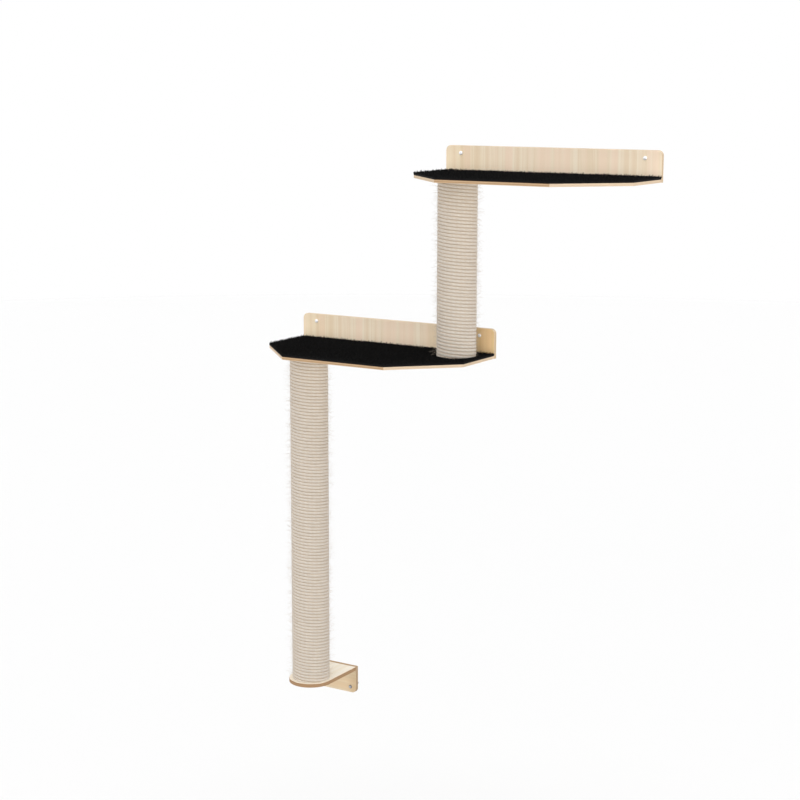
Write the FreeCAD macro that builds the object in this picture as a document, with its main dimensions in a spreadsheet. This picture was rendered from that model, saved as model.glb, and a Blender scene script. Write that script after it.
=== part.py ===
"""Wall-mounted cat scratcher: two carpeted shelves, two rope-wound posts and a foot bracket.

All sizes are millimetres. The wall is the plane y = 0 and the object stands out from it along -Y, with
+X to the right along the wall and +Z up. The origin lies on the wall, midway between the two wall screws
of the lower shelf. The short post stands on the lower shelf and carries the upper one; the tall post
carries the lower shelf and stands on the foot bracket.
"""
import FreeCAD, Part
import math
import os
import re

import Sketcher

SIZES = {
    # plywood boards and plates
    "ply_thickness": 10,
    "edge_round": 0.8,
    "shelf_width": 560,
    "shelf_depth": 296,
    "shelf_corner": 136,
    "plate_height": 72,
    "plate_corner": 12,
    "foot_margin": 8.8,
    # carpet on the boards
    "carpet_thickness": 4.5,
    "carpet_gap": 0.4,
    "cut_out_gap": 1,
    # where the posts stand: out from the wall, and in from the ends of the shelves
    "lower_post_reach": 134,
    "lower_post_inset": 102,
    "upper_post_reach": 82,
    "upper_post_inset": 64,
    "upper_shelf_overhang": 74,
    "lower_post_length": 853,
    "upper_post_length": 427,
    # cardboard core, wooden plugs and rope of a post
    "tube_diameter": 80,
    "tube_wall": 4,
    "plug_thickness": 25,
    "rope_diameter": 7.6,
    "rope_count": 3,
    "rope_gap": 0.5,
    "rope_seat": 0.1,
    "rope_end_gap": 0.4,
    # bolts that hold the posts, their threaded inserts and washers
    "bolt_diameter": 8,
    "bolt_grip": 16,
    "insert_wall": 1.4,
    "insert_length": 18,
    "sunk_head_diameter": 16,
    "socket_flats": 5,
    "socket_depth": 2.5,
    "hex_flats": 13,
    "hex_height": 5.5,
    "washer_diameter": 17,
    "washer_thickness": 1.6,
    # screws that hold each board to its back plate
    "joint_screw_diameter": 3.6,
    "joint_screw_head": 7,
    "joint_screw_length": 38,
    "joint_screw_inset": 56,
    "joint_screw_count": 4,
    "foot_joint_inset": 22,
    "foot_joint_count": 2,
    # screws into the wall, from the ends and from the far edge of a back plate
    "wall_screw_diameter": 5,
    "wall_screw_thread": 0.3,
    "wall_screw_length": 40,
    "wall_screw_head": 9.4,
    "wall_screw_dome": 3.4,
    "wall_screw_rim": 0.3,
    "wall_screw_tip": 6,
    "wall_screw_inset": 41,
    "wall_screw_drop": 18,
    "foot_screw_inset": 17,
    "foot_screw_drop": 15,
    "cross_length": 4.6,
    "cross_width": 1.1,
    "cross_depth": 1.7,
    # clearances, all on the radius, the depth of sunk heads, and the overrun of cuts
    "fit_gap": 0.1,
    "hole_gap": 0.3,
    "head_sink": 0.2,
    "overrun": 1,
}

# places of the posts along the wall, and heights of the boards, as sums of the sizes above
LOWER_POST_X = "(lower_post_inset - shelf_width / 2)"
UPPER_POST_X = "(shelf_width / 2 - upper_post_inset)"
UPPER_SHELF_X = f"({UPPER_POST_X} - upper_shelf_overhang + shelf_width / 2)"
LOWER_SHELF_Z = "(wall_screw_drop - plate_height)"
UPPER_SHELF_Z = f"({LOWER_SHELF_Z} + ply_thickness + upper_post_length)"
FOOT_TOP_Z = f"({LOWER_SHELF_Z} - lower_post_length)"
POST_RADIUS = "(tube_diameter / 2 + rope_seat + rope_diameter)"
FOOT_HALF = f"({POST_RADIUS} + foot_margin)"
BOLT_HOLE = "(bolt_diameter / 2 + hole_gap)"
JOINT_HOLE = "(joint_screw_diameter / 2 + fit_gap)"
WALL_HOLE = "(wall_screw_diameter / 2 + hole_gap)"
INSERT_BORE = "(bolt_diameter / 2 + fit_gap)"
INSERT_RADIUS = f"({INSERT_BORE} + insert_wall)"

# millimetres within which two places or radii count as one
SAME = 1e-5

# directions that a turned piece can point in, from its head to its tip
UP = FreeCAD.Rotation()
DOWN = FreeCAD.Rotation(FreeCAD.Vector(1, 0, 0), 180)
TO_WALL = FreeCAD.Rotation(FreeCAD.Vector(1, 0, 0), -90)
FROM_WALL = FreeCAD.Rotation(FreeCAD.Vector(1, 0, 0), 90)

doc = FreeCAD.newDocument("cat_scratcher")
sizes = doc.addObject("Spreadsheet::Sheet", "sizes")
for row, (alias, number) in enumerate(SIZES.items(), start=1):
    sizes.set(f"A{row}", alias)
    sizes.set(f"B{row}", str(number))
    sizes.setAlias(f"B{row}", alias)
doc.recompute()

pieces = []


def formula(text):
    """Write a sum of size names as an expression on the sheet."""
    return re.sub(r"[a-z_]+", lambda word: f"sizes.{word[0]}" if word[0] in SIZES else word[0], text)


def value(text):
    """Work a sum of size names out as a number."""
    return float(sizes.evalExpression(formula(text)))


def bind(thing, **properties):
    """Tie properties of an object to sums of sizes."""
    for name, text in properties.items():
        thing.setExpression(name, formula(text))


def place(thing, x, y, z, turn=UP):
    """Put an object at a point given by sums of sizes."""
    thing.Placement = FreeCAD.Placement(FreeCAD.Vector(), turn)
    for axis, text in zip("xyz", (x, y, z)):
        thing.setExpression(f"Placement.Base.{axis}", formula(text))


def new_body(name):
    """Start a body whose label names its piece."""
    body = doc.addObject("PartDesign::Body", name)
    body.Label = name
    return body


def new_sketch(body, role):
    """Add a sketch on one of the body's own origin planes."""
    sketch = body.newObject("Sketcher::SketchObject", f"{body.Name}_sketch")
    plane = next(item for item in body.Origin.OriginFeatures if item.Role == role)
    sketch.AttachmentSupport = (plane, [""])
    sketch.MapMode = "FlatFace"
    return sketch


def fix_point(sketch, item, end, x, y):
    """Hold one point of a sketch at sums of sizes from the sketch's origin."""
    for kind, text in (("DistanceX", x), ("DistanceY", y)):
        index = sketch.addConstraint(Sketcher.Constraint(kind, -1, 1, item, end, value(text)))
        sketch.setExpression(f"Constraints[{index}]", formula(text))


def draw_outline(body, role, points):
    """Draw a closed outline of straight lines through points given as pairs of sums."""
    sketch = new_sketch(body, role)
    corners = [FreeCAD.Vector(value(x), value(y)) for x, y in points]
    for start, end in zip(corners, corners[1:] + corners[:1]):
        sketch.addGeometry(Part.LineSegment(start, end))
    for index, (x, y) in enumerate(points):
        before = (index - 1) % len(points)
        sketch.addConstraint(Sketcher.Constraint("Coincident", before, 2, index, 1))
        fix_point(sketch, index, 1, x, y)
    return sketch


def draw_circles(body, role, radius, centres):
    """Draw circles of one radius at centres given as pairs of sums."""
    sketch = new_sketch(body, role)
    for index, (x, y) in enumerate(centres):
        centre = FreeCAD.Vector(value(x), value(y))
        sketch.addGeometry(Part.Circle(centre, FreeCAD.Vector(0, 0, 1), value(radius)))
        fix_point(sketch, index, 3, x, y)
        row = sketch.addConstraint(Sketcher.Constraint("Radius", index, value(radius)))
        sketch.setExpression(f"Constraints[{row}]", formula(radius))
    return sketch


def pad(body, sketch, length):
    """Raise a sketch to a solid of a given thickness."""
    feature = body.newObject("PartDesign::Pad", f"{body.Name}_pad")
    feature.Profile = sketch
    bind(feature, Length=length)
    doc.recompute()
    return feature


def pocket(body, sketch, depth, along_normal):
    """Cut a sketch into a body, and see that the cut took something away."""
    before = body.Shape.Volume
    feature = body.newObject("PartDesign::Pocket", f"{body.Name}_pocket")
    feature.Profile = sketch
    feature.Reversed = along_normal
    bind(feature, Length=depth)
    doc.recompute()
    if body.Shape.Volume >= before:
        raise RuntimeError(f"a cut in {body.Label} takes nothing away")
    return feature


def dress(body, kind, wanted, **size):
    """Round or bevel those edges of a body that a test picks out."""
    base = body.Tip
    names = [f"Edge{number}" for number, edge in enumerate(base.Shape.Edges, start=1) if wanted(edge)]
    feature = body.newObject(f"PartDesign::{kind}", f"{body.Name}_{kind.lower()}")
    feature.Base = (base, names)
    bind(feature, **size)
    doc.recompute()
    return feature


def lies_at(edge, axis, level):
    """Say whether a whole edge lies in the plane where one coordinate has a given value."""
    return all(abs(getattr(vertex, axis) - value(level)) < SAME for vertex in edge.Vertexes)


def is_rim(edge, radius):
    """Say whether an edge is a full circle of a given radius."""
    curve = edge.Curve
    return isinstance(curve, Part.Circle) and edge.isClosed() and abs(curve.Radius - value(radius)) < SAME


def turn_body(name, points):
    """Turn an outline, given as pairs of radius and height, about the body's Z axis."""
    body = new_body(name)
    sketch = draw_outline(body, "XZ_Plane", points)
    feature = body.newObject("PartDesign::Revolution", f"{body.Name}_turn")
    feature.Profile = sketch
    feature.ReferenceAxis = (sketch, ["V_Axis"])
    feature.Angle = 360
    doc.recompute()
    return body


def ring(inner, outer, length):
    """Outline of a plain ring that starts at height zero."""
    return [(inner, "0"), (outer, "0"), (outer, length), (inner, length)]


def group(name, members):
    """Keep like fasteners together as one piece of several solids."""
    compound = doc.addObject("Part::Compound", name)
    compound.Label = name
    compound.Links = members
    return compound


def spread(half_width, inset, count_name):
    """Places along the wall of evenly spaced screws, from one end of a plate to the other."""
    steps = round(value(count_name)) - 1
    return [f"(({half_width}) - ({inset})) * (2 * {step} / {steps} - 1)" for step in range(steps + 1)]


def hexagon(flats):
    """Corners of a hexagon of a given width across its flats."""
    half, side = f"{flats} / 2", f"{flats} / (2 * sqrt(3))"
    return [(half, f"-{side}"), (half, side), ("0", f"2 * {side}"),
            (f"-{half}", side), (f"-{half}", f"-{side}"), ("0", f"-2 * {side}")]


# Back plates


def make_back_plate(name, half_width, corner_z, joint_places, joint_z, screw_x, screw_z):
    """Plywood upstand against the wall, two corners rounded, drilled for joint and wall screws.

    Its own frame has the wall face at y = 0, the lower edge at z = 0 and the middle at x = 0.
    """
    plate = new_body(name)
    edges = [(f"-({half_width})", "0"), (half_width, "0"), (half_width, "plate_height"),
             (f"-({half_width})", "plate_height")]
    pad(plate, draw_outline(plate, "XZ_Plane", edges), "ply_thickness")
    dress(plate, "Fillet", lambda edge: lies_at(edge, "Z", corner_z) and not lies_at(edge, "Y", "0")
          and not lies_at(edge, "Y", "-ply_thickness"), Radius="plate_corner")
    dress(plate, "Fillet", lambda edge: lies_at(edge, "Y", "-ply_thickness"), Radius="edge_round")
    joints = [(x, joint_z) for x in joint_places]
    pocket(plate, draw_circles(plate, "XZ_Plane", JOINT_HOLE, joints), "ply_thickness + overrun", True)
    dress(plate, "Chamfer", lambda edge: lies_at(edge, "Y", "0") and is_rim(edge, JOINT_HOLE),
          Size="(joint_screw_head - joint_screw_diameter) / 2 + head_sink")
    screws = [(f"-({screw_x})", screw_z), (screw_x, screw_z)]
    pocket(plate, draw_circles(plate, "XZ_Plane", WALL_HOLE, screws), "ply_thickness + overrun", True)
    return plate


# Shelf boards and carpets


def shelf_outline(back):
    """Outline of a board or its carpet: straight back and sides, front corners cut at 45 degrees."""
    side, front = "shelf_width / 2", "(shelf_depth - ply_thickness)"
    return [(side, back), (f"-{side}", back), (f"-{side}", f"shelf_corner - {front}"),
            (f"shelf_corner - {side}", f"-{front}"), (f"{side} - shelf_corner", f"-{front}"),
            (side, f"shelf_corner - {front}")]


def make_shelf_board(name, joint_places, sunk_hole, plain_holes):
    """Plywood board with pilot holes along its back edge and a bolt hole for each post.

    Its own frame has the back edge at y = 0, the underside at z = 0 and the middle at x = 0. The sunk hole
    takes the bolt that comes down from under the carpet, and the plain ones take bolts from below.
    """
    board = new_body(name)
    pad(board, draw_outline(board, "XY_Plane", shelf_outline("0")), "ply_thickness")
    dress(board, "Fillet", lambda edge: lies_at(edge, "Z", "0") and not lies_at(edge, "Y", "0"),
          Radius="edge_round")
    holes = draw_circles(board, "XY_Plane", BOLT_HOLE, [sunk_hole] + plain_holes)
    pocket(board, holes, "ply_thickness + overrun", True)
    sunk_x = value(sunk_hole[0])
    dress(board, "Chamfer", lambda edge: lies_at(edge, "Z", "ply_thickness") and is_rim(edge, BOLT_HOLE)
          and abs(edge.Curve.Center.x - sunk_x) < SAME,
          Size="(sunk_head_diameter - bolt_diameter) / 2 + head_sink")
    pilots = [(x, "ply_thickness / 2") for x in joint_places]
    pocket(board, draw_circles(board, "XZ_Plane", JOINT_HOLE, pilots), "joint_screw_length", True)
    return board


def make_carpet(name, post_centres):
    """Cut-pile carpet over a whole board, with a round cut-out where a post stands on the board."""
    carpet = new_body(name)
    pad(carpet, draw_outline(carpet, "XY_Plane", shelf_outline("-carpet_gap")), "carpet_thickness")
    if post_centres:
        cut_outs = draw_circles(carpet, "XY_Plane", f"{POST_RADIUS} + cut_out_gap", post_centres)
        pocket(carpet, cut_outs, "carpet_thickness + overrun", True)
    return carpet


# Fasteners


def make_joint_screws(name, places, x, z):
    """Countersunk screws driven from the wall side, through a back plate into the edge of its board."""
    head, shank = "joint_screw_head / 2", "joint_screw_diameter / 2"
    outline = [("0", "0"), (head, "0"), (shank, f"{head} - {shank}"),
               (shank, "joint_screw_length - joint_screw_head"), ("0", "joint_screw_length")]
    screws = []
    for number, offset in enumerate(places, start=1):
        screw = turn_body(f"{name}_{number}", outline)
        place(screw, f"{x} + {offset}", "-head_sink", z, FROM_WALL)
        screws.append(screw)
    return group(name, screws)


def make_wall_screws(name, half_spacing, x, z):
    """Bright domed screws whose heads bear on the front of a back plate and whose points enter the wall.

    The plain neck in the plate is thinner than the threaded shank in the wall by the depth of the thread.
    """
    head, shank = "wall_screw_head / 2", "wall_screw_diameter / 2"
    neck = f"{shank} - wall_screw_thread"
    outline = [("0", "-wall_screw_dome"), (head, "-wall_screw_dome"), (head, "0"), (neck, "0"),
               (neck, "ply_thickness"), (shank, "ply_thickness"),
               (shank, "wall_screw_length - wall_screw_tip"), ("0", "wall_screw_length")]
    long, wide = "cross_length / 2", "cross_width / 2"
    cross = [(long, f"-{wide}"), (long, wide), (wide, wide),
             (wide, long), (f"-{wide}", long), (f"-{wide}", wide),
             (f"-{long}", wide), (f"-{long}", f"-{wide}"), (f"-{wide}", f"-{wide}"),
             (f"-{wide}", f"-{long}"), (wide, f"-{long}"), (wide, f"-{wide}")]
    screws = []
    for number, side in enumerate(("-", "+"), start=1):
        screw = turn_body(f"{name}_{number}", outline)
        dress(screw, "Fillet", lambda edge: lies_at(edge, "Z", "-wall_screw_dome"),
              Radius="min(wall_screw_dome; wall_screw_head / 2) - wall_screw_rim")
        recess = draw_outline(screw, "XY_Plane", cross)
        recess.setExpression("AttachmentOffset.Base.z", formula("-wall_screw_dome"))
        pocket(screw, recess, "cross_depth", True)
        place(screw, f"{x} {side} ({half_spacing})", "-ply_thickness", z, TO_WALL)
        screws.append(screw)
    return group(name, screws)


def make_sunk_bolt(name, x, y, top):
    """Countersunk bolt with a hexagon socket, down through a board into the top plug of a post."""
    head, shank = "sunk_head_diameter / 2", "bolt_diameter / 2"
    length = "ply_thickness + bolt_grip"
    outline = [("0", "0"), (head, "0"), (shank, f"{head} - {shank}"), (shank, length), ("0", length)]
    bolt = turn_body(name, outline)
    pocket(bolt, draw_outline(bolt, "XY_Plane", hexagon("socket_flats")), "socket_depth", True)
    place(bolt, x, y, f"{top} - head_sink", DOWN)
    return bolt


def make_hex_bolt(name, x, y, underside):
    """Hexagon bolt on its washer, up through a board into the bottom plug of a post."""
    bolt = new_body(name)
    pad(bolt, draw_outline(bolt, "XY_Plane", hexagon("hex_flats")), "hex_height")
    shank = draw_circles(bolt, "XY_Plane", "bolt_diameter / 2", [("0", "0")])
    pad(bolt, shank, "hex_height + washer_thickness + ply_thickness + bolt_grip")
    place(bolt, x, y, f"{underside} - washer_thickness - hex_height")
    washer_outline = ring(BOLT_HOLE, "washer_diameter / 2", "washer_thickness")
    washer = turn_body(name.replace("bolt", "washer"), washer_outline)
    place(washer, x, y, f"{underside} - washer_thickness")
    return [bolt, washer]


# Posts


def biarc(start, start_way, end, end_way):
    """Two arcs that leave one point and reach another along given directions."""
    chord, ways = end - start, start_way + end_way
    spare = 2 * (1 - start_way.dot(end_way))
    reach = (math.sqrt(chord.dot(ways) ** 2 + spare * chord.dot(chord)) - chord.dot(ways)) / spare
    joint = (start + start_way * reach + end - end_way * reach) / 2
    arcs = []
    for point, way in ((start, start_way), (end, -end_way)):
        across = joint - point
        normal = (across - way * across.dot(way)).normalize()
        radius = across.dot(across) / (2 * across.dot(normal))
        centre = point + normal * radius
        middle = centre + ((point + joint) / 2 - centre).normalize() * radius
        arcs.append(Part.Arc(point, middle, joint).toShape())
    return arcs


def make_ropes(name, length_name, x, y, z):
    """Ropes wound close round a post, side by side, their turns worked out from the post's length.

    Seen from the front they run down to the right. They start and end evenly spaced round the post, each
    quarter turn is two arcs, and both ends run straight for one rope diameter.
    """
    rope, radius = value("rope_diameter"), value("tube_diameter / 2 + rope_seat + rope_diameter / 2")
    count = round(value("rope_count"))
    least_lead = value("rope_diameter + rope_gap") * count
    dip = rope * least_lead / (math.tau * radius)
    lowest = value("rope_end_gap") + rope / 2 + dip
    climb = value(length_name) - 2 * lowest
    quarters = math.floor(4 * climb / least_lead)
    lead = 4 * climb / quarters

    def point(turn):
        angle = math.pi / 2 - math.tau * turn
        return FreeCAD.Vector(radius * math.cos(angle), radius * math.sin(angle), lowest + lead * turn)

    def way(turn):
        angle = math.pi / 2 - math.tau * turn
        along = FreeCAD.Vector(radius * math.sin(angle), -radius * math.cos(angle), lead / math.tau)
        return along.normalize()

    turns = [quarter / 4 for quarter in range(quarters + 1)]
    first, last = turns[0], turns[-1]
    start, end = point(first) - way(first) * rope, point(last) + way(last) * rope
    edges = [Part.LineSegment(start, point(first)).toShape()]
    for turn, following in zip(turns, turns[1:]):
        edges += biarc(point(turn), way(turn), point(following), way(following))
    edges.append(Part.LineSegment(point(last), end).toShape())
    path = Part.Wire(edges)
    section = Part.Wire([Part.Circle(start, way(first), rope / 2).toShape()])
    tube = path.makePipeShell([section], True, False)

    share = FreeCAD.Rotation(FreeCAD.Vector(0, 0, 1), 360 / count)
    ropes, spin = [], UP
    for number in range(1, count + 1):
        winding = doc.addObject("Part::Feature", f"{name}_{number}")
        winding.Shape = tube.copy()
        place(winding, x, y, z, spin)
        ropes.append(winding)
        spin = spin * share

    samples = 12
    line = [edge.valueAt(edge.FirstParameter + (edge.LastParameter - edge.FirstParameter) * step / samples)
            for edge in edges for step in range(samples)]
    above = [share.multVec(spot) for spot in line]
    ahead = 8 * samples // count
    least = min(line[index].distanceToPoint(above[other]) for index in range(0, len(line), samples // 2)
                for other in range(index + ahead // 2, min(index + 3 * ahead // 2, len(line))))
    print(f"{name}: {count} ropes of {last} turns, least gap from turn to turn {least - rope:.3f} mm")
    filled = tube.Volume / (math.pi * rope ** 2 / 4 * path.Length)
    print(f"{name}: volume over section times length {filled:.4f}")
    return group(name, ropes)


def make_post(name, length_name, x, y, z):
    """Cardboard tube with a wooden plug and threaded insert in each end, and the ropes around it."""
    tube = turn_body(f"{name}_tube", ring("tube_diameter / 2 - tube_wall", "tube_diameter / 2", length_name))
    place(tube, x, y, z)
    made = [tube, make_ropes(f"{name}_ropes", length_name, x, y, z)]
    plug_bore, plug_radius = f"{INSERT_RADIUS} + fit_gap", "tube_diameter / 2 - tube_wall - fit_gap"
    for end, lift, turn in (("bottom", "0", UP), ("top", length_name, DOWN)):
        plug = turn_body(f"{name}_{end}_plug", ring(plug_bore, plug_radius, "plug_thickness"))
        insert = turn_body(f"{name}_{end}_insert", ring(INSERT_BORE, INSERT_RADIUS, "insert_length"))
        for piece in (plug, insert):
            place(piece, x, y, f"{z} + {lift}", turn)
            made.append(piece)
    return made


# Foot bracket


def make_foot_plate(name, joint_places):
    """Plywood plate under the tall post: straight sides, and a half-round front about the post's axis.

    Its own frame has the back edge at y = 0, the top at z = 0 and the post's axis at x = 0.
    """
    plate = new_body(name)
    centre_y = "-(lower_post_reach - ply_thickness)"
    sides = [(FOOT_HALF, centre_y), (FOOT_HALF, "0"), (f"-{FOOT_HALF}", "0"), (f"-{FOOT_HALF}", centre_y)]
    front = draw_circles(plate, "XY_Plane", FOOT_HALF, [("0", centre_y)])
    for sketch in (draw_outline(plate, "XY_Plane", sides), front):
        pad(plate, sketch, "ply_thickness").Reversed = True
    doc.recompute()
    dress(plate, "Fillet", lambda edge: (lies_at(edge, "Z", "0") or lies_at(edge, "Z", "-ply_thickness"))
          and not lies_at(edge, "Y", "0"), Radius="edge_round")
    hole = draw_circles(plate, "XY_Plane", BOLT_HOLE, [("0", centre_y)])
    pocket(plate, hole, "ply_thickness + overrun", False)
    pilots = [(x, "-ply_thickness / 2") for x in joint_places]
    pocket(plate, draw_circles(plate, "XZ_Plane", JOINT_HOLE, pilots), "joint_screw_length", True)
    return plate


# Both shelves: the lower one carries the short post, and the upper one overhangs it

shelf_joints = spread("shelf_width / 2", "joint_screw_inset", "joint_screw_count")
shelf_screw_x = "shelf_width / 2 - wall_screw_inset"
shelf_screw_z = "plate_height - wall_screw_drop"
lower_post_spot = (LOWER_POST_X, "ply_thickness - lower_post_reach")
upper_post_spot = (UPPER_POST_X, "ply_thickness - upper_post_reach")
overhang_spot = ("upper_shelf_overhang - shelf_width / 2", "ply_thickness - upper_post_reach")

for shelf, x, z, sunk_spot, plain_spots, post_spots in (
        ("lower_shelf", "0", LOWER_SHELF_Z, lower_post_spot, [upper_post_spot], [upper_post_spot]),
        ("upper_shelf", UPPER_SHELF_X, UPPER_SHELF_Z, overhang_spot, [], [])):
    back_plate = make_back_plate(f"{shelf}_back_plate", "shelf_width / 2", "plate_height", shelf_joints,
                                 "ply_thickness / 2", shelf_screw_x, shelf_screw_z)
    place(back_plate, x, "0", z)
    board = make_shelf_board(f"{shelf}_board", shelf_joints, sunk_spot, plain_spots)
    place(board, x, "-ply_thickness", z)
    carpet = make_carpet(f"{shelf}_carpet", post_spots)
    place(carpet, x, "-ply_thickness", f"{z} + ply_thickness")
    joint_screws = make_joint_screws(f"{shelf}_joint_screws", shelf_joints, x, f"{z} + ply_thickness / 2")
    wall_screws = make_wall_screws(f"{shelf}_wall_screws", shelf_screw_x, x, f"{z} + {shelf_screw_z}")
    pieces += [back_plate, board, carpet, joint_screws, wall_screws]

# Posts with their bolts

for post, length, x, reach, foot_z in (
        ("upper_post", "upper_post_length", UPPER_POST_X, "-upper_post_reach",
         f"({LOWER_SHELF_Z} + ply_thickness)"),
        ("lower_post", "lower_post_length", LOWER_POST_X, "-lower_post_reach", FOOT_TOP_Z)):
    pieces += make_post(post, length, x, reach, foot_z)
    pieces.append(make_sunk_bolt(f"{post}_top_bolt", x, reach, f"{foot_z} + {length} + ply_thickness"))
    pieces += make_hex_bolt(f"{post}_bottom_bolt", x, reach, f"({foot_z} - ply_thickness)")

# Foot bracket under the tall post

foot_joints = spread(FOOT_HALF, "foot_joint_inset", "foot_joint_count")
foot_screw_x = f"({FOOT_HALF} - foot_screw_inset)"
foot_plate = make_foot_plate("foot_plate", foot_joints)
place(foot_plate, LOWER_POST_X, "-ply_thickness", FOOT_TOP_Z)
foot_back_plate = make_back_plate("foot_back_plate", FOOT_HALF, "0", foot_joints,
                                  "plate_height - ply_thickness / 2", foot_screw_x, "foot_screw_drop")
place(foot_back_plate, LOWER_POST_X, "0", f"{FOOT_TOP_Z} - plate_height")
pieces += [foot_plate, foot_back_plate]
pieces.append(make_joint_screws("foot_joint_screws", foot_joints, LOWER_POST_X,
                                f"{FOOT_TOP_Z} - ply_thickness / 2"))
pieces.append(make_wall_screws("foot_wall_screws", foot_screw_x, LOWER_POST_X,
                               f"{FOOT_TOP_Z} - plate_height + foot_screw_drop"))

doc.recompute()
for item in doc.Objects:
    if "Invalid" in item.State or "Error" in item.State:
        raise RuntimeError(f"{item.Label} failed: {item.State}")
for piece in pieces:
    if piece.Shape.isNull() or not piece.Shape.isValid() or not piece.Shape.Solids:
        raise RuntimeError(f"{piece.Label} is not a valid solid")

os.makedirs("parts", exist_ok=True)
for piece in pieces:
    piece.Shape.exportStep(f"parts/{piece.Label}.step")
print(f"{len(pieces)} pieces written")
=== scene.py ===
"""Wall-mounted cat scratcher: the finish of its plywood, rope, carpet and metal, seen in soft studio light.

All sizes are metres. The wall is the plane y = 0, the scratcher stands out from it along -Y, +X runs to the
right along the wall and +Z is up.
"""
import math

import bmesh
import bpy
from mathutils import Matrix, Vector, noise


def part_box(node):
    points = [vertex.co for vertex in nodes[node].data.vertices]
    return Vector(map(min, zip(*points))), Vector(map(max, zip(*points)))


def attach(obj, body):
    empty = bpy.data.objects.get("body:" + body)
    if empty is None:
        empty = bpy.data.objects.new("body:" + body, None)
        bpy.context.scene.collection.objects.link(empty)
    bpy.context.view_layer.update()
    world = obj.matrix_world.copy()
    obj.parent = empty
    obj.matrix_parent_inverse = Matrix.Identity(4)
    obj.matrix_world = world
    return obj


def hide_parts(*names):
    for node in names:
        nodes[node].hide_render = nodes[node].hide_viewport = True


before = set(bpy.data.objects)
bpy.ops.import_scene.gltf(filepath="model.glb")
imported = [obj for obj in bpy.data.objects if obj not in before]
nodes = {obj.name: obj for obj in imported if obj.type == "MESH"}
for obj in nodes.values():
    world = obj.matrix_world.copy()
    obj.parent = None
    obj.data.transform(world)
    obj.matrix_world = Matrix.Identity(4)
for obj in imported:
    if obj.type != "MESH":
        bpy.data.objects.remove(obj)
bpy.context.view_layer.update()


# Back plates: upstands of 10 mm pale plywood that stand flat against the wall, with two rounded corners.
# The shelf plates are sawn with the grain upright, the foot's plate with the grain along the wall, and the
# screws through them carry the whole scratcher.


def tint(red, green, blue):
    """Colour as it looks on a screen, each part from 0 to 255, as the linear value that a shader takes."""
    parts = [part / 255 for part in (red, green, blue)]
    linear = [part / 12.92 if part < 0.04045 else ((part + 0.055) / 1.055) ** 2.4 for part in parts]
    return (*linear, 1)


def add(tree, kind, sockets=None, **settings):
    """Put a node in a tree, set its options, and set its sockets or link them to other sockets."""
    made = tree.nodes.new(kind)
    for name, setting in settings.items():
        setattr(made, name, setting)
    for key, source in (sockets or {}).items():
        if isinstance(source, bpy.types.NodeSocket):
            tree.links.new(source, made.inputs[key])
        else:
            made.inputs[key].default_value = source
    return made


def sum_of(tree, operation, *terms):
    """Result of a sum on values or sockets."""
    return add(tree, "ShaderNodeMath", dict(enumerate(terms)), operation=operation).outputs[0]


def mixed(tree, share, first, second, blend_type="MIX"):
    """Colour between two colours, or two colours laid over each other."""
    sockets = {0: share, 6: first, 7: second}
    return add(tree, "ShaderNodeMix", sockets, data_type="RGBA", blend_type=blend_type).outputs[2]


def ranged(tree, source, low, high, to_low=0.0, to_high=1.0):
    """Value eased from one range to another."""
    sockets = {"Value": source, "From Min": low, "From Max": high, "To Min": to_low, "To Max": to_high}
    return add(tree, "ShaderNodeMapRange", sockets, interpolation_type="SMOOTHSTEP").outputs[0]


def speckle(tree, vector, stretch, detail=2.0, roughness=0.5):
    """Smooth random value on coordinates that are stretched along each axis, as grain is."""
    scaled = add(tree, "ShaderNodeVectorMath", {0: vector, 1: stretch}, operation="MULTIPLY").outputs[0]
    sockets = {"Vector": scaled, "Scale": 1.0, "Detail": detail, "Roughness": roughness}
    return add(tree, "ShaderNodeTexNoise", sockets).outputs[0]


def new_group(name, inputs, outputs):
    """Start a shader group, and give back its tree with its input and output nodes."""
    tree = bpy.data.node_groups.new(name, "ShaderNodeTree")
    kinds = {"vector": "NodeSocketVector", "value": "NodeSocketFloat", "colour": "NodeSocketColor"}
    for socket_name, kind in inputs.items():
        tree.interface.new_socket(socket_name, in_out="INPUT", socket_type=kinds[kind])
    for socket_name, kind in outputs.items():
        tree.interface.new_socket(socket_name, in_out="OUTPUT", socket_type=kinds[kind])
    return tree, tree.nodes.new("NodeGroupInput"), tree.nodes.new("NodeGroupOutput")


def new_finish(name):
    """Start a material, and give it back with its tree, its shader and its object coordinates."""
    material = bpy.data.materials.new(name)
    material.use_nodes = True
    tree = material.node_tree
    tree.nodes.clear()
    shader = add(tree, "ShaderNodeBsdfPrincipled")
    add(tree, "ShaderNodeOutputMaterial", {"Surface": shader.outputs[0]})
    return material, tree, shader, add(tree, "ShaderNodeTexCoord")


def connect(tree, shader, **sources):
    """Link sockets to the inputs of a shader, with spaces written as underscores."""
    for name, source in sources.items():
        tree.links.new(source, shader.inputs[name.replace("_", " ")])


def bumped(tree, height, depth, strength=1.0):
    """Normal of a surface that is raised by a height of at most some depth."""
    sockets = {"Strength": strength, "Distance": depth, "Height": height}
    return add(tree, "ShaderNodeBump", sockets).outputs[0]


def coat(material, *names):
    """Give carried-over nodes their finish."""
    for name in names:
        nodes[name].data.materials.clear()
        nodes[name].data.materials.append(material)


PLY_THICKNESS = 0.010
PLY_COUNT = 5
PLY_SWAY = 0.05
GRAIN_DRIFT = 0.012
GRAIN_DEPTH = 0.00015
END_GRAIN_RISE = 1.5
END_GRAIN_TONE = tint(120, 84, 52)
EDGE_ROUGHER = 0.18
EASED_EDGE = (0.62, 0.86)


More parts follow.
